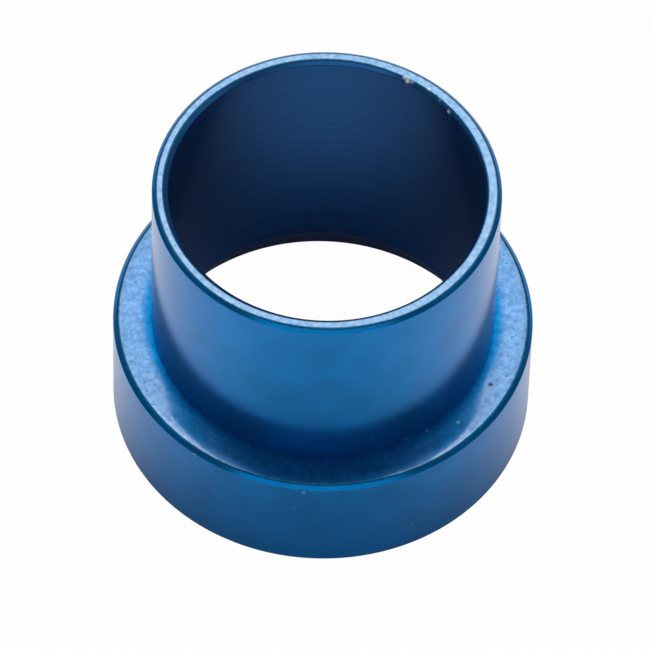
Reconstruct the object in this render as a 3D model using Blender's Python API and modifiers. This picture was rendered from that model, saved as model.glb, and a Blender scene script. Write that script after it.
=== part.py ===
"""Tube sleeve for a flared tube joint: one turned piece of blue anodised aluminium.

The sleeve stands on its collar. A thin barrel rises from the collar's shoulder, the bore takes the
tube, and a conical seat under the collar backs the tube's flare. The nut of the joint slides over
the barrel and pushes on the shoulder.

Metres, +Z up along the turning axis, with the origin at the centre of the collar's base ring."""

import math

import bpy
from mathutils import Matrix, Vector

MM = 0.001

# The tube that the sleeve is made for, and the play round it, on the diameter
TUBE_DIAMETER = 12.7 * MM
TUBE_PLAY = 0.10 * MM

# Walls and steps, each measured square to the axis
BARREL_WALL = 0.67 * MM
SHOULDER_WIDTH = 1.58 * MM
BASE_RING_WIDTH = 1.10 * MM

# Lengths along the axis
BARREL_LENGTH = 8.75 * MM
COLLAR_LENGTH = 5.30 * MM

# The seat's slope, from the axis, and the blend that carries it into the bore
SEAT_HALF_ANGLE = math.radians(28.0)
SEAT_BLEND_RADIUS = 0.80 * MM

# Edge breaks: what each takes off both sides of its corner
RIM_BREAK = 0.17 * MM
BORE_BREAK = 0.17 * MM
COLLAR_BREAK = 0.18 * MM
BASE_BREAK = 0.18 * MM
SEAT_LIP_BREAK = 0.06 * MM

# The tool's nose leaves this radius where the barrel meets the shoulder
ROOT_RADIUS = 0.15 * MM

# Fineness of the model
TURN_STEPS = 144
ARC_STEPS = 5
SHARPEST_SMOOTH_EDGE = math.radians(30.0)
LARGEST_SHARE_OF_A_SIDE = 0.45
MERGE_DISTANCE = 0.0001 * MM

# Blue anodised aluminium, satin from the etch before the dye
ANODISED_BLUE = (0.010, 0.090, 0.290, 1.0)
ANODISED_ROUGHNESS = 0.38
ANODISED_METALLIC = 0.9


def clear_scene():
    """Remove what the scene holds at the start."""
    for thing in list(bpy.data.objects):
        bpy.data.objects.remove(thing, do_unlink=True)


def fitting_cut(before, corner, after, wanted):
    """How far a cut may reach along both sides of a corner: as wanted, or as its sides allow."""
    shorter_side = min((before - corner).length, (after - corner).length)
    return min(wanted, LARGEST_SHARE_OF_A_SIDE * shorter_side)


def broken(before, corner, after, size):
    """A flat edge break: two points, each `size` away from the corner along one side."""
    reach = fitting_cut(before, corner, after, size)
    start = corner + (before - corner).normalized() * reach
    end = corner + (after - corner).normalized() * reach
    return [start, end]


def rounded(before, corner, after, radius):
    """An arc of `radius` that touches both sides of the corner, as ARC_STEPS straight pieces."""
    to_before = (before - corner).normalized()
    to_after = (after - corner).normalized()
    half_angle = to_before.angle(to_after) / 2
    reach = fitting_cut(before, corner, after, radius / math.tan(half_angle))
    centre_distance = reach / math.cos(half_angle)
    centre = corner + (to_before + to_after).normalized() * centre_distance
    start = corner + to_before * reach - centre
    end = corner + to_after * reach - centre
    # angle_signed is positive clockwise, and a 2D rotation matrix turns the other way
    sweep = -start.angle_signed(end)
    points = []
    for step in range(ARC_STEPS + 1):
        turn = Matrix.Rotation(sweep * step / ARC_STEPS, 2)
        points.append(centre + turn @ start)
    return points


def sleeve_corners():
    """The section's corners as (radius, height), with how each is finished, outer side downwards.

    It runs from the rim down the barrel, over the shoulder, down the collar, in along the base
    ring and up the seat and the bore."""
    bore = (TUBE_DIAMETER + TUBE_PLAY) / 2
    barrel = bore + BARREL_WALL
    collar = barrel + SHOULDER_WIDTH
    seat_mouth = collar - BASE_RING_WIDTH
    rim_height = COLLAR_LENGTH + BARREL_LENGTH
    seat_height = (seat_mouth - bore) / math.tan(SEAT_HALF_ANGLE)
    return [
        (barrel, rim_height, broken, RIM_BREAK),
        (barrel, COLLAR_LENGTH, rounded, ROOT_RADIUS),
        (collar, COLLAR_LENGTH, broken, COLLAR_BREAK),
        (collar, 0.0, broken, BASE_BREAK),
        (seat_mouth, 0.0, broken, SEAT_LIP_BREAK),
        (bore, seat_height, rounded, SEAT_BLEND_RADIUS),
        (bore, rim_height, broken, BORE_BREAK),
    ]


def section_outline(corners):
    """The closed outline of the section, each corner replaced by its edge break or its arc."""
    places = [Vector((radius, height)) for radius, height, _, _ in corners]
    outline = []
    for index, (_, _, finish, size) in enumerate(corners):
        before = places[index - 1]
        after = places[(index + 1) % len(places)]
        outline.extend(finish(before, places[index], after, size))
    return outline


def anodised_aluminium():
    """Satin blue anodised aluminium: dyed metal under a clear oxide."""
    material = bpy.data.materials.new("blue anodised aluminium")
    material.use_nodes = True
    shader = material.node_tree.nodes["Principled BSDF"]
    shader.inputs["Base Color"].default_value = ANODISED_BLUE
    shader.inputs["Roughness"].default_value = ANODISED_ROUGHNESS
    shader.inputs["Metallic"].default_value = ANODISED_METALLIC
    material.diffuse_color = ANODISED_BLUE
    return material


def turned(name, outline, material, collection):
    """One solid of revolution: the outline as a loop of edges, carried round Z by Screw."""
    mesh = bpy.data.meshes.new(name)
    loop = [(index, (index + 1) % len(outline)) for index in range(len(outline))]
    mesh.from_pydata([(point.x, 0.0, point.y) for point in outline], loop, [])
    solid = bpy.data.objects.new(name, mesh)
    collection.objects.link(solid)
    screw = solid.modifiers.new("turning", "SCREW")
    screw.axis = "Z"
    screw.angle = math.tau
    screw.steps = TURN_STEPS
    screw.render_steps = TURN_STEPS
    screw.use_merge_vertices = True
    screw.merge_threshold = MERGE_DISTANCE
    bpy.context.view_layer.objects.active = solid
    bpy.ops.object.modifier_apply(modifier=screw.name)
    solid.data.materials.append(material)
    solid.data.shade_smooth()
    solid.data.set_sharp_from_angle(angle=SHARPEST_SMOOTH_EDGE)
    return solid


def build():
    """Make the sleeve in its own collection."""
    clear_scene()
    collection = bpy.data.collections.new("tube sleeve")
    bpy.context.scene.collection.children.link(collection)
    turned("sleeve", section_outline(sleeve_corners()), anodised_aluminium(), collection)


build()
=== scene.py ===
"""Looks of a turned tube sleeve in blue anodised aluminium, standing on its collar in soft light.

The sleeve is one surface of revolution: a rounded section carried round the axis, with two small
burrs on the bore's edge. Lengths are in metres. The script is laid out as an add-on and run as a script."""

import math
from collections import namedtuple

import bpy
import numpy as np
from bpy.props import FloatProperty, FloatVectorProperty, IntProperty, PointerProperty
from bpy.types import Operator, Panel, PropertyGroup
from mathutils import Matrix, Vector


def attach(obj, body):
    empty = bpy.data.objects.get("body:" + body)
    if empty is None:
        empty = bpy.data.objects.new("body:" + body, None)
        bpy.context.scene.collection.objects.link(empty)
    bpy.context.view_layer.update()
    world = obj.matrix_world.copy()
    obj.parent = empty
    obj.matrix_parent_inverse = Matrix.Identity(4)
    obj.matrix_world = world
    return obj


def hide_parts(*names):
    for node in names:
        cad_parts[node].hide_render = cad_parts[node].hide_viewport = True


bl_info = {
    "name": "Tube Sleeve",
    "version": (1, 0, 0),
    "blender": (4, 5, 0),
    "location": "View3D > Sidebar > Sleeve",
    "description": "Makes a turned, anodised tube sleeve and its studio",
    "category": "Add Mesh",
}

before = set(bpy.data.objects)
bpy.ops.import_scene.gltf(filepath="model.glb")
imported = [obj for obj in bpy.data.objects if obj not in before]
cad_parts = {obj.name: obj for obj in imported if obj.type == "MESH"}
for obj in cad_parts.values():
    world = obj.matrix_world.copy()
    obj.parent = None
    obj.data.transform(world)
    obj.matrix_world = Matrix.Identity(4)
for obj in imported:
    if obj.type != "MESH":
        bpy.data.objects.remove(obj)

MM = 0.001
NODE = "sleeve"
BODY = "root"

# Photograph's frame, in pixels
PHOTO_SIDE = 650
SENSOR_WIDTH_MM = 36.0

# Where the camera stands for the photograph's view
CAMERA_ELEVATION = 54.535
CAMERA_ROLL = 1.836
CAMERA_DISTANCE = 335.24 * MM
FOCAL_LENGTH_PX = 8033.2
AIM_RIGHT = 0.092 * MM
AIM_UP = 2.664 * MM


def linear(hex_colour):
    """A colour written as sRGB hex, as linear red, green and blue."""
    channels = [int(hex_colour[i:i + 2], 16) / 255 for i in (1, 3, 5)]
    return tuple(c / 12.92 if c <= 0.04045 else ((c + 0.055) / 1.055) ** 2.4 for c in channels)


# Shaded paper, which mirrors show without glow: centre, where it is full and where it ends
SHADE_POOLS = (
    ((0.0, 0.0, 0.0), 7.9 * MM, 8.8 * MM),
    ((0.0, -5.0 * MM, 0.0), 6.5 * MM, 13.5 * MM),
)
# Painted light on the paper inside the hole, which the back of the bore mirrors as a painted reflection:
# grows lighter towards the camera
HOLE_CENTRE = (0.0, 8.5 * MM, 0.0)
HOLE_NEAR = 4.0 * MM
HOLE_FAR = 13.0 * MM
HOLE_PAINTED_LIGHT = 0.4
# Radii between which the paper inside the hole gives way to the paper outside
HOLE_EDGE = (6.6 * MM, 7.4 * MM)

# Soft boxes: elevation and azimuth in degrees, width and height in metres, one distance for all
SoftBox = namedtuple("SoftBox", "elevation azimuth width height")
BACK_BOX = SoftBox(elevation=55.0, azimuth=-2.0, width=0.28, height=0.30)
SIDE_BOX = SoftBox(elevation=56.0, azimuth=41.0, width=0.12, height=0.28)
LOW_BOX = SoftBox(elevation=36.0, azimuth=85.0, width=0.40, height=0.13)
HIGH_BOX = SoftBox(elevation=71.0, azimuth=62.0, width=0.24, height=0.11)
FRONT_BOX = SoftBox(elevation=22.0, azimuth=180.0, width=0.60, height=0.34)
LAMP_DISTANCE = 0.45

# Fineness of the turned surface: steps in each arc, longest step on the shoulder and elsewhere
ARC_STEPS = 6
SHOULDER_STEP = 0.1 * MM
WALL_STEP = 0.6 * MM

# Slope of the edge breaks, at which what belongs to a level face has ended
BREAK_SLOPE = math.radians(45)
# Radii from the barrel's wall between which the shoulder's lean grows to its full value
LEAN_GROWTH = (-0.1 * MM, 0.35 * MM)
# Slopes from level, in degrees, at which a finish has ended and at which it is full
FACED_SLOPES = (48, 22)
GLOSSY_SLOPES = (32, 14)
# Radii from the barrel's wall between which the shoulder's gloss grows to its full value
GLOSS_GROWTH = (0.1 * MM, 0.6 * MM)
# How squarely a surface faces the axis where the bore's finish begins and where it is full
BORED_FACING = (0.45, 0.68)
# Depths below the rim, in mm, at which the land's colour has ended and at which it is full
LAND_DEPTHS = (0.15, 0.05)

# Small marks of use: azimuth from +X in degrees, radius, height and size in mm, strength
PALE_MARKS = (
    # the first six, on the bore's edge by the burrs, are painted glints of the burrs as well as rubbed
    # oxide
    (62.6, 6.53, 14.01, 0.13, 0.8),
    (61.0, 6.47, 13.98, 0.16, 1.0),
    (59.3, 6.50, 14.00, 0.12, 0.6),
    (52.4, 6.58, 14.05, 0.12, 0.5),
    (46.5, 6.50, 13.98, 0.09, 0.4),
    (41.0, 6.41, 13.88, 0.13, 0.9),
    (-145.4, 7.07, 6.78, 0.10, 0.25),
    (-72.1, 7.07, 6.13, 0.10, 0.2),
    (-70.6, 7.07, 5.63, 0.10, 0.2),
    (-59.8, 7.08, 5.38, 0.11, 0.3),
    (-51.9, 7.13, 5.30, 0.09, 0.25),
    (-42.4, 7.67, 5.30, 0.11, 0.4),
    (-93.7, 8.65, 4.94, 0.11, 0.4),
    (-96.3, 8.65, 3.71, 0.14, 0.12),
    (-62.9, 8.65, 1.50, 0.12, 0.15),
    (-125.7, 8.65, 5.08, 0.10, 0.35),
)
DARK_MARKS = (
    (-24.9, 7.66, 5.30, 0.16, 0.9),
    (-22.6, 7.80, 5.30, 0.10, 0.4),
    (-138.0, 7.95, 5.30, 0.10, 0.5),
    (-150.0, 8.20, 5.30, 0.09, 0.5),
    (-20.0, 8.10, 5.30, 0.10, 0.4),
)
# Burrs raised on the bore's edge: azimuth, radius and height as above, width and height in mm
BURRS = (
    (61.2, 6.46, 13.97, 0.11, 0.06),
    (41.0, 6.42, 13.90, 0.07, 0.04),
)


def opaque(colour):
    """A linear colour with full alpha, for a colour socket."""
    return (*colour, 1.0)


def frame_section():
    """The section's levels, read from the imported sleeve: radii and heights in metres."""
    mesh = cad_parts[NODE].data
    points = np.empty(len(mesh.vertices) * 3)
    mesh.vertices.foreach_get("co", points)
    points = points.reshape(-1, 3)
    radii = np.hypot(points[:, 0], points[:, 1])
    heights = points[:, 2]
    near = 0.005 * MM
    # the visual surface stays a hair inside the solid
    radii -= 0.0002 * MM
    height = heights.max()
    bore = radii.min()
    collar = radii.max()
    barrel = radii[heights > height / 2].max()
    on_collar_side = radii > collar - near
    between = (radii > barrel + near) & (heights > heights[on_collar_side].max() + near)
    shoulder = heights[between].min()
    on_rim = np.abs(heights - height) < near
    on_shoulder = np.abs(heights - shoulder) < near
    on_base = heights < near
    on_bore = radii < bore + near
    return {
        "height": height,
        "bore": bore,
        "collar": collar,
        "barrel": barrel,
        "shoulder": shoulder,
        "rim_break": barrel - radii[on_rim].max(),
        "bore_break": radii[on_rim].min() - bore,
        "collar_break": collar - radii[on_shoulder].max(),
        "root_radius": radii[on_shoulder].min() - barrel,
        "base_break": collar - radii[on_base].max(),
        "seat_mouth": radii[on_base].min(),
        "seat_top": heights[on_bore].min(),
    }


SECTION = frame_section()


class SleeveSizes(PropertyGroup):
    """Fine sizes of the turned surface, on top of the section that the frame gives."""

    rim_rounding: FloatProperty(
        name="Rim rounding",
        description="Radius that softens the edge breaks of the rim",
        default=0.2 * MM, min=0.001 * MM, subtype="DISTANCE", unit="LENGTH")
    collar_rounding: FloatProperty(
        name="Collar rounding",
        description="Radius that softens the edge breaks of the collar, towards the rings",
        default=0.18 * MM, min=0.001 * MM, subtype="DISTANCE", unit="LENGTH")
    wall_rounding: FloatProperty(
        name="Wall rounding",
        description="Radius that softens the edge breaks towards the walls",
        default=0.06 * MM, min=0.001 * MM, subtype="DISTANCE", unit="LENGTH")
    root_rounding: FloatProperty(
        name="Root rounding",
        description="Radius between the barrel's foot and the shoulder",
        default=0.003 * MM, min=0.001 * MM, subtype="DISTANCE", unit="LENGTH")
    seat_rounding: FloatProperty(
        name="Seat blend",
        description="Radius that carries the seat into the bore",
        default=0.8 * MM, min=0.01 * MM, subtype="DISTANCE", unit="LENGTH")
    shoulder_lean: FloatProperty(
        name="Shoulder lean",
        description="How far the shoulder's polished face leans outward",
        default=math.radians(3.0), min=0.0, max=math.radians(15), subtype="ANGLE",
        unit="ROTATION")
    off_square: FloatProperty(
        name="Off square",
        description="How far the shoulder's face is off square, towards the left",
        default=math.radians(0.8), min=0.0, max=math.radians(2), subtype="ANGLE",
        unit="ROTATION")
    edge_lean: FloatProperty(
        name="Edge lean",
        description="Further lean of the shoulder where it meets its edge break",
        default=math.radians(7.0), min=0.0, max=math.radians(25), subtype="ANGLE",
        unit="ROTATION")
    roll_width: FloatProperty(
        name="Roll width",
        description="Width of the shoulder's outer part that leans further",
        default=0.55 * MM, min=0.01 * MM, subtype="DISTANCE", unit="LENGTH")
    rim_offset: FloatProperty(
        name="Rim offset",
        description="How far the inner edge break of the rim sits off the axis, to the left",
        default=0.05 * MM, min=0.0, max=0.1 * MM, subtype="DISTANCE", unit="LENGTH")
    turn_steps: IntProperty(
        name="Turn steps",
        description="Facets round the axis",
        default=720, min=64, max=1200)


class SleeveFinish(PropertyGroup):
    """Colours and gloss of the anodised metal."""

    wall_colour: FloatVectorProperty(
        name="Wall colour",
        description="Dyed oxide on the turned walls and edge breaks",
        subtype="COLOR", size=3, min=0.0, max=1.0, default=linear("#0479C0"))
    wall_dark: FloatVectorProperty(
        name="Wall dark",
        description="Where the dye took more deeply on the walls",
        subtype="COLOR", size=3, min=0.0, max=1.0, default=linear("#066DAD"))
    ring_colour: FloatVectorProperty(
        name="Ring colour",
        description="Dyed oxide on the faced rings, which is paler",
        subtype="COLOR", size=3, min=0.0, max=1.0, default=linear("#0A75AE"))
    ring_dark: FloatVectorProperty(
        name="Ring dark",
        description="Blotches where the dye took more deeply on the faced rings",
        subtype="COLOR", size=3, min=0.0, max=1.0, default=linear("#05609A"))
    land_colour: FloatVectorProperty(
        name="Land colour",
        description="Dyed oxide on the rim's land, which is paler still",
        subtype="COLOR", size=3, min=0.0, max=1.0, default=linear("#5586AC"))
    land_dark: FloatVectorProperty(
        name="Land dark",
        description="Blotches where the dye took more deeply on the rim's land",
        subtype="COLOR", size=3, min=0.0, max=1.0, default=linear("#42769F"))
    # the bore's colours are darker and greyer than the walls': part of that is painted shade of the deep
    # bore
    bore_colour_and_shade: FloatVectorProperty(
        name="Bore colour",
        description="Dyed oxide in the bore, which is darker",
        subtype="COLOR", size=3, min=0.0, max=1.0, default=linear("#2464A2"))
    bore_dark_and_shade: FloatVectorProperty(
        name="Bore dark",
        description="The darker tool lines of the bore",
        subtype="COLOR", size=3, min=0.0, max=1.0, default=linear("#225B94"))
    # paler metal where the oxide is rubbed, and painted glints of the burrs on the bore's edge
    rubbed_and_glint_colour: FloatVectorProperty(
        name="Rubbed colour",
        description="Paler metal where the oxide is rubbed",
        subtype="COLOR", size=3, min=0.0, max=1.0, default=linear("#D0DCD8"))
    pit_colour: FloatVectorProperty(
        name="Pit colour",
        description="Dark pits in the oxide",
        subtype="COLOR", size=3, min=0.0, max=1.0, default=linear("#12304E"))
    wall_roughness: FloatProperty(
        name="Wall roughness",
        description="Roughness of the turned walls",
        default=0.2, min=0.0, max=1.0, subtype="FACTOR")
    ring_roughness: FloatProperty(
        name="Ring roughness",
        description="Roughness of the faced rings",
        default=0.38, min=0.0, max=1.0, subtype="FACTOR")
    wall_metal: FloatProperty(
        name="Wall metal",
        description="Share of bare metal in the look, as against the oxide's own body",
        default=0.9, min=0.0, max=1.0, subtype="FACTOR")
    ring_metal: FloatProperty(
        name="Ring metal",
        description="Share of bare metal in the look of the faced rings",
        default=0.98, min=0.0, max=1.0, subtype="FACTOR")
    bore_metal: FloatProperty(
        name="Bore metal",
        description="Share of bare metal in the look of the bore",
        default=0.8, min=0.0, max=1.0, subtype="FACTOR")
    oxide_roughness: FloatProperty(
        name="Oxide roughness",
        description="Roughness of the clear oxide's surface on the rings",
        default=0.09, min=0.0, max=1.0, subtype="FACTOR")
    oxide_ior: FloatProperty(
        name="Oxide IOR",
        description="Refractive index of the clear oxide",
        default=1.9, min=1.0, max=3.0)
    bore_roughness: FloatProperty(
        name="Bore roughness",
        description="Roughness of the bore",
        default=0.24, min=0.0, max=1.0, subtype="FACTOR")


class SleeveStudio(PropertyGroup):
    """Floor and lamps."""

    floor_colour: FloatVectorProperty(
        name="Floor colour",
        description="Paper that the sleeve stands on",
        subtype="COLOR", size=3, min=0.0, max=1.0, default=linear("#FAFAF9"))
    floor_glow: FloatProperty(
        name="Floor glow",
        description="Share of pure white in the paper, as seen straight",
        default=0.98, min=0.0, max=1.0, subtype="FACTOR")
    mirrored_glow: FloatProperty(
        name="Mirrored glow",
        description="Share of pure white in the open paper, as metal mirrors it",
        default=0.78, min=0.0, max=1.0, subtype="FACTOR")
    floor_radius: FloatProperty(
        name="Floor radius",
        description="Radius of the round paper",
        default=0.6, min=0.05, subtype="DISTANCE", unit="LENGTH")
    back_light: FloatProperty(
        name="Back light",
        description="Radiance of the soft box behind and above the sleeve",
        default=2.4, min=0.0)
    side_light: FloatProperty(
        name="Side light",
        description="Radiance of the soft boxes to the left and right of the sleeve",
        default=0.4, min=0.0)
    high_light: FloatProperty(
        name="High light",
        description="Radiance of the soft boxes high up to the left and right of the sleeve",
        default=1.9, min=0.0)
    low_light: FloatProperty(
        name="Low light",
        description="Radiance of the low soft boxes to the left and right of the sleeve",
        default=0.35, min=0.0)
    front_light: FloatProperty(
        name="Front light",
        description="Radiance of the soft box in front of the sleeve",
        default=0.75, min=0.0)
    room_light: FloatProperty(
        name="Room light",
        description="Radiance of the room, from all sides",
        default=0.22, min=0.0)


def rounded_section(corners, arc_steps):
    """A closed outline whose corners are arcs, with the outward normal of every point.

    Each corner is (radius from the axis, height, rounding). The arc of a corner touches both sides
    at rounding / tan(half the corner's angle), and its points are the centre plus the rounding
    times a unit vector that turns evenly from one side's normal to the other's. The outline runs
    down the outer side and up the inner one, so the outward normal is the direction of travel
    turned a quarter turn to the left."""
    corners = np.asarray(corners)
    places = corners[:, :2]
    roundings = corners[:, 2]
    travel = np.roll(places, -1, axis=0) - places
    travel /= np.linalg.norm(travel, axis=1)[:, None]
    normals = np.stack([-travel[:, 1], travel[:, 0]], axis=1)
    normals_before = np.roll(normals, 1, axis=0)
    cosines = np.clip((normals * normals_before).sum(axis=1), -1, 1)
    turns = np.arccos(cosines)
    crossings = normals_before[:, 0] * normals[:, 1] - normals_before[:, 1] * normals[:, 0]
    bends = np.sign(crossings)
    reach = roundings * np.tan(turns / 2)
    starts = places - np.roll(travel, 1, axis=0) * reach[:, None]
    # a convex corner's centre lies inside the metal, a hollow one's outside it
    centres = starts + normals_before * (bends * roundings)[:, None]
    steps = np.linspace(0, 1, arc_steps + 1)
    angles = np.arctan2(normals_before[:, 1], normals_before[:, 0])[:, None]
    angles = angles + (bends * turns)[:, None] * steps[None, :]
    arc_normals = np.stack([np.cos(angles), np.sin(angles)], axis=2)
    arc_points = centres[:, None, :] - arc_normals * (bends * roundings)[:, None, None]
    return arc_points.reshape(-1, 2), arc_normals.reshape(-1, 2)


def fill_long_sides(points, normals, longest):
    """The same outline with its long straight sides cut into equal pieces no longer than longest."""
    following = np.roll(points, -1, axis=0)
    lengths = np.linalg.norm(following - points, axis=1)
    pieces = np.maximum(1, np.ceil(lengths / longest)).astype(int)
    owner = np.repeat(np.arange(len(points)), pieces)
    first = np.cumsum(pieces) - pieces
    share = (np.arange(pieces.sum()) - first[owner]) / pieces[owner]
    filled = points[owner] + (following - points)[owner] * share[:, None]
    turned = normals[owner]
    inside = share > 0
    side = (following - points)[owner]
    straight = np.stack([-side[:, 1], side[:, 0]], axis=1)
    straight /= np.maximum(np.linalg.norm(straight, axis=1), 1e-12)[:, None]
    turned[inside] = straight[inside]
    return filled, turned


def turn_round(points, normals, steps):
    """The outline carried round Z: x = r cos a, y = r sin a, z = h, and its normals likewise."""
    angles = np.arange(steps) * (math.tau / steps)
    outward = np.stack([np.cos(angles), np.sin(angles), np.zeros(steps)], axis=1)
    upward = np.array([0.0, 0.0, 1.0])
    places = points[None, :, :1] * outward[:, None, :] + points[None, :, 1:] * upward
    directions = normals[None, :, :1] * outward[:, None, :] + normals[None, :, 1:] * upward
    return places, directions


def shifted(places, directions, shifts):
    """The turned surface with a small shift at every point, and the normals that go with it.

    With p the place and s the shift, the new normal is (p + s)_u x (p + s)_a, where u runs along
    the section and a round the axis. p_u is the unit tangent, the round direction crossed with the
    old normal, and p_a is r times the round direction. The shift's own slopes are differences
    between neighbours."""
    radius = np.hypot(places[..., 0], places[..., 1])[..., None]
    round_direction = np.stack([
        -places[..., 1], places[..., 0], np.zeros(places.shape[:2])], axis=2) / radius
    along = np.cross(round_direction, directions)
    gaps = np.linalg.norm(np.roll(places, -1, axis=1) - places, axis=2)[..., None]
    both_gaps = gaps + np.roll(gaps, 1, axis=1)
    slope_along = (np.roll(shifts, -1, axis=1) - np.roll(shifts, 1, axis=1)) / both_gaps
    step = math.tau / len(places)
    slope_round = (np.roll(shifts, -1, axis=0) - np.roll(shifts, 1, axis=0)) / (2 * step)
    new_directions = np.cross(along + slope_along, round_direction * radius + slope_round)
    new_directions /= np.linalg.norm(new_directions, axis=2)[..., None]
    return places + shifts, new_directions


def grid_quads(turns, rows):
    """Quads of a grid that closes both ways, with the corner order that faces outwards."""
    turn, row = np.meshgrid(np.arange(turns), np.arange(rows), indexing="ij")
    next_turn = (turn + 1) % turns
    next_row = (row + 1) % rows
    quads = np.stack([
        turn * rows + row,
        turn * rows + next_row,
        next_turn * rows + next_row,
        next_turn * rows + row], axis=2)
    return quads.reshape(-1, 4)


def mesh_from_grid(name, places, directions):
    """A mesh object at the origin from a closed grid of points, with the grid's own normals."""
    turns, rows = places.shape[:2]
    mesh = bpy.data.meshes.new(name)
    quads = grid_quads(turns, rows)
    mesh.vertices.add(turns * rows)
    mesh.vertices.foreach_set("co", places.astype(np.float32).ravel())
    mesh.loops.add(quads.size)
    mesh.loops.foreach_set("vertex_index", quads.astype(np.int32).ravel())
    mesh.polygons.add(len(quads))
    mesh.polygons.foreach_set("loop_start", np.arange(0, quads.size, 4, dtype=np.int32))
    mesh.update(calc_edges=True)
    mesh.shade_smooth()
    mesh.normals_split_custom_set_from_vertices(directions.reshape(-1, 3))
    piece = bpy.data.objects.new(name, mesh)
    bpy.context.scene.collection.objects.link(piece)
    return piece


def smooth_step(low, high, values):
    """0 up to low, 1 from high, and 3t^2 - 2t^3 between."""
    share = np.clip((values - low) / (high - low), 0, 1)
    return share * share * (3 - 2 * share)


def point_attribute(mesh, name, values):
    """Keep one number per point, which the material reads."""
    attribute = mesh.attributes.new(name, "FLOAT", "POINT")
    attribute.data.foreach_set("value", values.astype(np.float32).ravel())


def sleeve_corners(sizes):
    """The section's corners, from the rim down the outer side and up the inner one."""
    s = SECTION
    rim = sizes.rim_rounding
    collar = sizes.collar_rounding
    return [
        (s["barrel"] - s["rim_break"], s["height"], rim),
        (s["barrel"], s["height"] - s["rim_break"], sizes.wall_rounding),
        (s["barrel"], s["shoulder"], sizes.root_rounding),
        (s["collar"] - s["collar_break"], s["shoulder"], collar),
        (s["collar"], s["shoulder"] - s["collar_break"], sizes.wall_rounding),
        (s["collar"], s["base_break"], sizes.wall_rounding),
        (s["collar"] - s["base_break"], 0.0, collar),
        (s["seat_mouth"], 0.0, sizes.root_rounding),
        (s["bore"], s["seat_top"], sizes.seat_rounding),
        (s["bore"], s["height"] - s["bore_break"], sizes.wall_rounding),
        (s["bore"] + s["bore_break"], s["height"], rim),
    ]


def lean_shoulder(points, normals, sizes):
    """The section's normals, leant outward on the shoulder, which falls away a little.

    With r the radius, the lean grows over the first part of the shoulder to shoulder_lean, and
    near the edge by edge_lean times t^1.5, t running from 0 to 1. Where the edge break begins,
    at the slope a, the lean fades as 1 - a / 45 degrees."""
    radius = points[:, 0]
    slope = np.arctan2(normals[:, 0], normals[:, 1])
    near = 0.01 * MM
    on_shoulder = (
        (radius > SECTION["barrel"] + near)
        & (points[:, 1] < SECTION["shoulder"] + near)
        & (slope >= 0) & (slope < BREAK_SLOPE))
    edge = SECTION["collar"] - SECTION["collar_break"]
    near_edge = np.clip((radius - edge) / sizes.roll_width + 1, 0, 1)
    lean = sizes.shoulder_lean * smooth_step(*LEAN_GROWTH, radius - SECTION["barrel"])
    lean = lean + sizes.edge_lean * near_edge ** 1.5
    lean = np.where(on_shoulder, lean * (1 - slope / BREAK_SLOPE), 0.0)
    leant = np.stack([np.sin(slope + lean), np.cos(slope + lean)], axis=1)
    return np.where(on_shoulder[:, None], leant, normals)


def off_axis_rim(places, offset):
    """Shift of the rim's inner edge to the left, fading out over the land and down the bore."""
    radius = np.hypot(places[..., 0], places[..., 1])
    edge = SECTION["bore"] + SECTION["bore_break"]
    land_middle = (edge + SECTION["barrel"] - SECTION["rim_break"]) / 2
    over_land = 1 - smooth_step(edge, land_middle, radius)
    foot = SECTION["height"] - 1.5 * SECTION["bore_break"]
    down_bore = smooth_step(foot, SECTION["height"], places[..., 2])
    shifts = np.zeros_like(places)
    shifts[..., 0] = -offset * over_land * down_bore
    return shifts


def burrs(places, directions):
    """Shift off the metal at each burr: n rise exp(-(distance / width)^2), never upward."""
    shifts = np.zeros_like(places)
    for azimuth, radius, height, width, rise in BURRS:
        turn = math.radians(azimuth)
        centre = np.array([radius * math.cos(turn), radius * math.sin(turn), height]) * MM
        distance = np.linalg.norm(places - centre, axis=2)[..., None]
        shifts += directions * rise * MM * np.exp(-(distance / (width * MM)) ** 2)
    shifts[..., 2] = np.minimum(shifts[..., 2], 0.0)
    return shifts


def levelness(directions, ended, full):
    """1 where the surface slopes by less than full degrees, 0 beyond ended, soft between."""
    upward = np.abs(directions[..., 2])
    return smooth_step(math.cos(math.radians(ended)), math.cos(math.radians(full)), upward)


def keep_finishes(mesh, places, directions):
    """Which points are faced, which of those are glossy, and which are bored.

    The shoulder loses its gloss close to the barrel's foot."""
    radius = np.hypot(places[..., 0], places[..., 1])
    on_rim = places[..., 2] > (SECTION["height"] + SECTION["shoulder"]) / 2
    clear_of_foot = smooth_step(*GLOSS_GROWTH, radius - SECTION["barrel"])
    glossy = levelness(directions, *GLOSSY_SLOPES) * np.maximum(on_rim, clear_of_foot)
    facing_axis = -(directions[..., :2] * places[..., :2]).sum(axis=2) / radius
    point_attribute(mesh, "faced", levelness(directions, *FACED_SLOPES))
    point_attribute(mesh, "glossy", glossy)
    point_attribute(mesh, "bored", smooth_step(*BORED_FACING, facing_axis))


def sleeve_surface(sizes):
    """The whole sleeve as one closed surface, with the finish of every point."""
    points, normals = rounded_section(sleeve_corners(sizes), ARC_STEPS)
    on_shoulder = np.abs(points[:, 1] - SECTION["shoulder"]) < 0.005 * MM
    longest = np.where(on_shoulder, SHOULDER_STEP, WALL_STEP)
    points, normals = fill_long_sides(points, normals, longest)
    normals = lean_shoulder(points, normals, sizes)
    places, directions = turn_round(points, normals, sizes.turn_steps)
    # the shoulder and the upper part of its edge break are off square, so they lean to the left
    leans = (normals[:, 1] > math.cos(BREAK_SLOPE)) & (points[:, 0] > SECTION["barrel"])
    directions[:, leans, 0] -= math.sin(sizes.off_square)
    shifts = off_axis_rim(places, sizes.rim_offset) + burrs(places, directions)
    places, directions = shifted(places, directions, shifts)
    piece = mesh_from_grid("turned_sleeve", places, directions)
    keep_finishes(piece.data, places, directions)
    return piece


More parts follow.
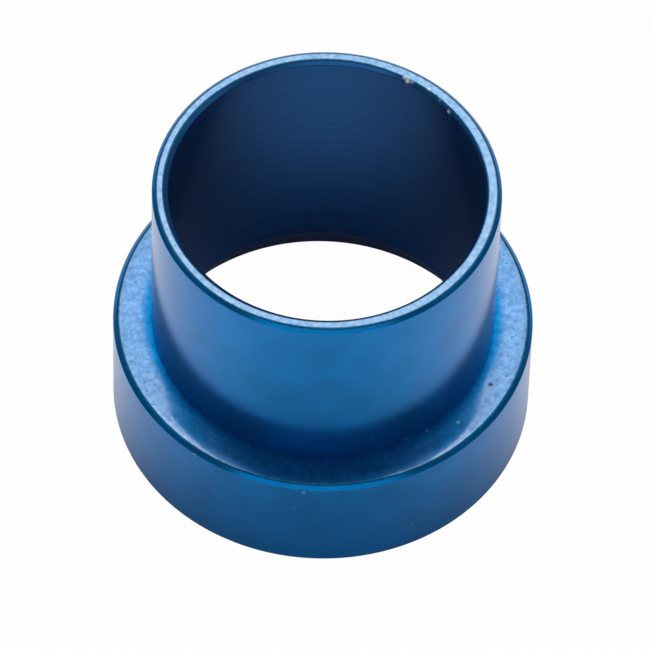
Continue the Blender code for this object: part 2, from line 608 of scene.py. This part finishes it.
def add_node(tree, kind, inputs=None, **settings):
    """Add one shader node, set its properties, and fill or link its inputs."""
    node = tree.nodes.new(kind)
    for name, value in settings.items():
        setattr(node, name, value)
    for name, value in (inputs or {}).items():
        socket = node.inputs[name]
        if isinstance(value, bpy.types.NodeSocket):
            tree.links.new(value, socket)
        else:
            socket.default_value = value
    return node


def new_material(name):
    """An empty node material and its tree."""
    material = bpy.data.materials.new(name)
    material.use_nodes = True
    material.node_tree.nodes.clear()
    return material, material.node_tree


def mix(tree, share, first, second, kind="RGBA"):
    """Mix two colours or two numbers. A share of 0 gives the first, of 1 the second."""
    first_place, second_place, result = {"RGBA": (6, 7, 2), "FLOAT": (2, 3, 0)}[kind]
    node = add_node(
        tree, "ShaderNodeMix",
        {0: share, first_place: first, second_place: second}, data_type=kind)
    return node.outputs[result]


def noise(tree, vector, per_mm, detail, low=0.3, high=0.7):
    """Noise with so many cells to the millimetre, stretched from low..high to 0..1."""
    pattern = add_node(
        tree, "ShaderNodeTexNoise",
        {"Vector": vector, "Scale": per_mm, "Detail": detail}).outputs["Fac"]
    return add_node(
        tree, "ShaderNodeMapRange",
        {"Value": pattern, "From Min": low, "From Max": high}).outputs[0]


def math_node(tree, operation, first, second):
    """One step of arithmetic on two numbers."""
    return add_node(
        tree, "ShaderNodeMath", {0: first, 1: second}, operation=operation).outputs[0]


def spots(tree, in_mm, marks):
    """1 at the middle of each mark and 0 outside them all, soft between."""
    largest = 0.0
    for azimuth, radius, height, size, strength in marks:
        turn = math.radians(azimuth)
        centre = (radius * math.cos(turn), radius * math.sin(turn), height)
        distance = add_node(
            tree, "ShaderNodeVectorMath", {0: in_mm, 1: centre}, operation="DISTANCE")
        spot = add_node(
            tree, "ShaderNodeMapRange",
            {"Value": distance.outputs["Value"], "From Min": size, "From Max": 0.2 * size,
             "To Max": strength}, interpolation_type="SMOOTHSTEP").outputs[0]
        largest = math_node(tree, "MAXIMUM", spot, largest)
    return largest


def anodised_aluminium(finish):
    """Blue anodised aluminium: a dyed oxide on bright metal.

    The faced rings are paler and mottled under a clear, glossy oxide, and the rim's land is the
    palest. The bore is darker, with fine turned lines."""
    material, tree = new_material("blue anodised aluminium, turned and faced")
    place = add_node(tree, "ShaderNodeTexCoord").outputs["Object"]
    in_mm = add_node(
        tree, "ShaderNodeVectorMath", {0: place, "Scale": 1 / MM}, operation="SCALE").outputs[0]
    faced = add_node(tree, "ShaderNodeAttribute", attribute_name="faced").outputs["Fac"]
    glossy = add_node(tree, "ShaderNodeAttribute", attribute_name="glossy").outputs["Fac"]
    bored = add_node(tree, "ShaderNodeAttribute", attribute_name="bored").outputs["Fac"]

    parts = add_node(tree, "ShaderNodeSeparateXYZ", {0: in_mm}).outputs
    height_mm = parts["Z"]
    # the dye takes unevenly on the faced rings, in blotches of a fifth of a millimetre
    mottle = noise(tree, in_mm, per_mm=5.0, detail=3.0, low=0.34, high=0.66)
    ring = mix(tree, mottle, opaque(finish.ring_dark), opaque(finish.ring_colour))
    # single darker grains show in it
    grains = noise(tree, in_mm, per_mm=7.0, detail=1.0, low=0.66, high=0.76)
    ring = mix(tree, grains, ring, opaque(finish.wall_dark))
    # the rim's land is paler than the shoulder
    land_ended, land_full = (SECTION["height"] / MM - depth for depth in LAND_DEPTHS)
    on_land = add_node(
        tree, "ShaderNodeMapRange",
        {"Value": height_mm, "From Min": land_ended, "From Max": land_full}).outputs[0]
    land = mix(tree, mottle, opaque(finish.land_dark), opaque(finish.land_colour))
    ring = mix(tree, math_node(tree, "MULTIPLY", on_land, glossy), ring, land)
    # slow drift of the dye round the part
    drift = noise(tree, in_mm, per_mm=0.6, detail=5.0)
    wall = mix(tree, drift, opaque(finish.wall_dark), opaque(finish.wall_colour))
    # tool lines run round the bore
    x_squared = math_node(tree, "POWER", parts["X"], 2.0)
    y_squared = math_node(tree, "POWER", parts["Y"], 2.0)
    radius_mm = math_node(tree, "POWER", math_node(tree, "ADD", x_squared, y_squared), 0.5)
    section_place = add_node(
        tree, "ShaderNodeCombineXYZ", {"X": radius_mm, "Y": height_mm, "Z": 0.0}).outputs[0]
    tool_lines = noise(tree, section_place, per_mm=6.0, detail=2.0)
    # besides the tool lines, the bore's darker colours carry painted shade of the deep bore
    bore = mix(tree, tool_lines, opaque(finish.bore_dark_and_shade), opaque(finish.bore_colour_and_shade))

    colour = mix(tree, faced, wall, ring)
    colour = mix(tree, bored, colour, bore)
    # pale marks: rubbed oxide, and on the bore's edge painted glints of the burrs
    pale = spots(tree, in_mm, PALE_MARKS)
    colour = mix(tree, pale, colour, opaque(finish.rubbed_and_glint_colour))
    dark = spots(tree, in_mm, DARK_MARKS)
    colour = mix(tree, dark, colour, opaque(finish.pit_colour))

    # satin grain of the metal under the oxide
    grain = noise(tree, in_mm, per_mm=14.0, detail=2.0)
    roughness = mix(tree, faced, finish.wall_roughness, finish.ring_roughness, "FLOAT")
    roughness = mix(tree, bored, roughness, finish.bore_roughness, "FLOAT")
    uneven = add_node(
        tree, "ShaderNodeMapRange",
        {"Value": grain, "To Min": 0.92, "To Max": 1.08}).outputs[0]
    roughness = math_node(tree, "MULTIPLY", roughness, uneven)
    metal = mix(tree, faced, finish.wall_metal, finish.ring_metal, "FLOAT")
    metal = mix(tree, bored, metal, finish.bore_metal, "FLOAT")
    # where the oxide is rubbed, and at the painted glints on the bore's edge, it scatters light and shows
    # less of the metal
    metal = mix(tree, pale, metal, 0.3, "FLOAT")
    # clear oxide on the faced rings mirrors the lamps white, more so on the pale blotches
    gloss = add_node(
        tree, "ShaderNodeMapRange",
        {"Value": mottle, "To Min": 0.55, "To Max": 0.95}).outputs[0]
    gloss = math_node(tree, "MULTIPLY", gloss, glossy)
    # grains and marks break the gloss
    marred = math_node(tree, "MAXIMUM", grains, math_node(tree, "MAXIMUM", dark, pale))
    gloss = math_node(tree, "MULTIPLY", gloss, math_node(tree, "SUBTRACT", 1.0, marred))
    bump = add_node(
        tree, "ShaderNodeBump",
        {"Height": grain, "Strength": 0.5, "Distance": 0.0012 * MM}).outputs["Normal"]
    lines_bump = add_node(
        tree, "ShaderNodeBump",
        {"Height": tool_lines, "Strength": 0.5, "Distance": 0.0008 * MM, "Normal": bump}
    ).outputs["Normal"]
    # marks lie a little below the surface
    pits = math_node(tree, "ADD", dark, pale)
    pitted = add_node(
        tree, "ShaderNodeBump",
        {"Height": pits, "Strength": 0.5, "Distance": 0.02 * MM, "Normal": lines_bump},
        invert=True).outputs["Normal"]
    # a low specular level keeps the dyed body deep in front views, and the tint gives the walls
    # their faint violet sheen where they turn out of sight
    shader = add_node(tree, "ShaderNodeBsdfPrincipled", {
        "Base Color": colour,
        "Metallic": metal,
        "Roughness": roughness,
        "Specular IOR Level": 0.2,
        "Specular Tint": (1.0, 0.97, 1.0, 1.0),
        "Coat Weight": gloss,
        "Coat Roughness": finish.oxide_roughness,
        "Coat IOR": finish.oxide_ior,
        "Normal": pitted})
    add_node(tree, "ShaderNodeOutputMaterial", {"Surface": shader.outputs[0]})
    return material


def away_from(tree, place, centre, near, far):
    """0 within near of the centre, 1 beyond far, soft between."""
    distance = add_node(
        tree, "ShaderNodeVectorMath", {0: place, 1: centre}, operation="DISTANCE")
    return add_node(
        tree, "ShaderNodeMapRange",
        {"Value": distance.outputs["Value"], "From Min": near, "From Max": far},
        interpolation_type="SMOOTHSTEP").outputs[0]


def paper(colour, glow, mirrored_glow):
    """Matt white paper, which keeps the sleeve's shadow.

    Straight views and mirrored ones see it nearer to pure white, the mirrored ones only away from
    the sleeve's foot and less so in the hole, so that the shadow stays deep in the metal."""
    material, tree = new_material("matt white paper")
    lit = add_node(tree, "ShaderNodeBsdfDiffuse", {"Color": opaque(colour)}).outputs[0]
    white = add_node(tree, "ShaderNodeEmission", {"Strength": 1.0}).outputs[0]
    path = add_node(tree, "ShaderNodeLightPath").outputs
    mirrored = add_node(
        tree, "ShaderNodeMath", {0: path["Is Glossy Ray"], 1: path["Is Transmission Ray"]},
        operation="MAXIMUM").outputs[0]
    place = add_node(tree, "ShaderNodeTexCoord").outputs["Object"]
    open_paper = mirrored_glow
    for centre, near, far in SHADE_POOLS:
        share = away_from(tree, place, centre, near, far)
        open_paper = math_node(tree, "MULTIPLY", open_paper, share)
    # painted light on the paper inside the hole, for mirrored views only, which the bore's back wall shows
    # as a painted reflection
    hole_painted_light = away_from(tree, place, HOLE_CENTRE, HOLE_NEAR, HOLE_FAR)
    out_of_hole = away_from(tree, place, (0.0, 0.0, 0.0), *HOLE_EDGE)
    hole_painted_light = math_node(tree, "MULTIPLY", hole_painted_light, HOLE_PAINTED_LIGHT)
    hole_painted_light = math_node(tree, "MULTIPLY", hole_painted_light, math_node(tree, "SUBTRACT", 1.0, out_of_hole))
    open_paper = math_node(tree, "MAXIMUM", open_paper, hole_painted_light)
    mirrored_share = math_node(tree, "MULTIPLY", mirrored, open_paper)
    share = add_node(
        tree, "ShaderNodeMath", {0: path["Is Camera Ray"], 1: glow, 2: mirrored_share},
        operation="MULTIPLY_ADD").outputs[0]
    surface = add_node(tree, "ShaderNodeMixShader", {0: share, 1: lit, 2: white}).outputs[0]
    add_node(tree, "ShaderNodeOutputMaterial", {"Surface": surface})
    return material


def soft_box(name, radiance, box, side=1):
    """A rectangular lamp that faces the sleeve. A side of -1 puts it on the other side.

    Azimuth 0 is behind the sleeve, as the camera sees it, and grows to the right. A flat lamp of
    power P and area A has the radiance P / (pi A)."""
    up = math.radians(box.elevation)
    round_z = math.radians(side * box.azimuth)
    away = Vector((
        math.sin(round_z) * math.cos(up),
        math.cos(round_z) * math.cos(up),
        math.sin(up)))
    data = bpy.data.lights.new(name, "AREA")
    data.shape = "RECTANGLE"
    data.size = box.width
    data.size_y = box.height
    data.energy = radiance * math.pi * box.width * box.height
    lamp = bpy.data.objects.new(name, data)
    centre = Vector((0.0, 0.0, SECTION["height"] / 2))
    lamp.matrix_world = (
        Matrix.Translation(centre + away * LAMP_DISTANCE)
        @ away.to_track_quat("Z", "Y").to_matrix().to_4x4())
    bpy.context.scene.collection.objects.link(lamp)


def photograph_camera():
    """The camera at the photograph's angle, distance and roll."""
    elevation = math.radians(CAMERA_ELEVATION)
    forward = Vector((0.0, math.cos(elevation), -math.sin(elevation)))
    right = Vector((1.0, 0.0, 0.0))
    up = right.cross(forward)
    aim = right * AIM_RIGHT + up * AIM_UP
    place = aim - forward * CAMERA_DISTANCE
    turn = Matrix((right, up, -forward)).transposed().to_4x4()
    data = bpy.data.cameras.new("camera")
    data.sensor_width = SENSOR_WIDTH_MM
    data.lens = FOCAL_LENGTH_PX * SENSOR_WIDTH_MM / PHOTO_SIDE
    data.clip_start = CAMERA_DISTANCE / 10
    data.clip_end = CAMERA_DISTANCE * 20
    camera = bpy.data.objects.new("camera", data)
    camera.matrix_world = (
        Matrix.Translation(place) @ turn @ Matrix.Rotation(math.radians(CAMERA_ROLL), 4, "Z"))
    bpy.context.scene.collection.objects.link(camera)
    bpy.context.scene.camera = camera


def round_floor(radius, material):
    """A flat round sheet at height zero: points at radius r_i and angle a_j, closed at the centre."""
    rings = 12
    spokes = 96
    radii = radius * (np.arange(1, rings + 1) / rings) ** 2
    angles = np.arange(spokes) * (math.tau / spokes)
    ring_points = np.stack([
        np.outer(radii, np.cos(angles)),
        np.outer(radii, np.sin(angles)),
        np.zeros((rings, spokes))], axis=2).reshape(-1, 3)
    points = np.vstack([[0.0, 0.0, 0.0], ring_points])
    spoke = np.arange(spokes)
    next_spoke = (spoke + 1) % spokes
    centre_faces = np.stack([np.zeros_like(spoke), 1 + spoke, 1 + next_spoke], axis=1)
    ring, spoke = np.meshgrid(np.arange(rings - 1), spoke, indexing="ij")
    inner = 1 + ring * spokes
    outer = inner + spokes
    next_spoke = (spoke + 1) % spokes
    ring_faces = np.stack([
        inner + spoke, outer + spoke, outer + next_spoke, inner + next_spoke], axis=2)
    mesh = bpy.data.meshes.new("paper_floor")
    mesh.from_pydata(points, [], centre_faces.tolist() + ring_faces.reshape(-1, 4).tolist())
    mesh.materials.append(material)
    floor = bpy.data.objects.new("paper_floor", mesh)
    bpy.context.scene.collection.objects.link(floor)
    return floor


def room(radiance):
    """An even, dim room."""
    world = bpy.data.worlds.new("room")
    bpy.context.scene.world = world
    world.use_nodes = True
    background = world.node_tree.nodes["Background"]
    background.inputs["Color"].default_value = (1.0, 1.0, 1.0, 1.0)
    background.inputs["Strength"].default_value = radiance


class SLEEVE_OT_add_sleeve(Operator):
    """Make the turned sleeve and give it its anodised finish"""

    bl_idname = "sleeve.add_sleeve"
    bl_label = "Add Sleeve"

    def execute(self, context):
        piece = sleeve_surface(context.scene.sleeve_sizes)
        piece.data.materials.append(anodised_aluminium(context.scene.sleeve_finish))
        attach(piece, BODY)
        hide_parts(NODE)
        return {"FINISHED"}


class SLEEVE_OT_add_stage(Operator):
    """Make the paper floor, the lamps, the room and the camera"""

    bl_idname = "sleeve.add_stage"
    bl_label = "Add Stage"

    def execute(self, context):
        studio = context.scene.sleeve_studio
        floor = round_floor(
            studio.floor_radius,
            paper(studio.floor_colour, studio.floor_glow, studio.mirrored_glow))
        soft_box("back_soft_box", studio.back_light, BACK_BOX)
        for name, side in (("left", -1), ("right", 1)):
            soft_box(f"{name}_soft_box", studio.side_light, SIDE_BOX, side)
            soft_box(f"{name}_low_box", studio.low_light, LOW_BOX, side)
            soft_box(f"{name}_high_box", studio.high_light, HIGH_BOX, side)
        soft_box("front_soft_box", studio.front_light, FRONT_BOX)
        room(studio.room_light)
        photograph_camera()
        view = context.scene.view_settings
        view.view_transform = "Standard"
        return {"FINISHED"}


class SLEEVE_PT_panel(Panel):
    """Lists the sleeve's sizes, finish and studio"""

    bl_idname = "SLEEVE_PT_panel"
    bl_label = "Tube Sleeve"
    bl_space_type = "VIEW_3D"
    bl_region_type = "UI"
    bl_category = "Sleeve"

    def draw(self, context):
        groups = (
            (context.scene.sleeve_sizes, "sleeve.add_sleeve"),
            (context.scene.sleeve_finish, None),
            (context.scene.sleeve_studio, "sleeve.add_stage"),
        )
        for group, operator in groups:
            column = self.layout.column()
            for name in group.__annotations__:
                column.prop(group, name)
            if operator:
                column.operator(operator)


CLASSES = (
    SleeveSizes,
    SleeveFinish,
    SleeveStudio,
    SLEEVE_OT_add_sleeve,
    SLEEVE_OT_add_stage,
    SLEEVE_PT_panel,
)


def register():
    """Register the classes and hang the property groups on the scene."""
    for each in CLASSES:
        bpy.utils.register_class(each)
    bpy.types.Scene.sleeve_sizes = PointerProperty(type=SleeveSizes)
    bpy.types.Scene.sleeve_finish = PointerProperty(type=SleeveFinish)
    bpy.types.Scene.sleeve_studio = PointerProperty(type=SleeveStudio)


def unregister():
    """Undo register."""
    del bpy.types.Scene.sleeve_studio
    del bpy.types.Scene.sleeve_finish
    del bpy.types.Scene.sleeve_sizes
    for each in reversed(CLASSES):
        bpy.utils.unregister_class(each)


def main():
    """Make everything."""
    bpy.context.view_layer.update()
    for thing in [o for o in bpy.context.scene.objects if o.type in {"CAMERA", "LIGHT"}]:
        bpy.data.objects.remove(thing, do_unlink=True)
    register()
    bpy.ops.sleeve.add_sleeve()
    bpy.ops.sleeve.add_stage()
    bpy.context.view_layer.update()


if __name__ == "__main__":
    main()
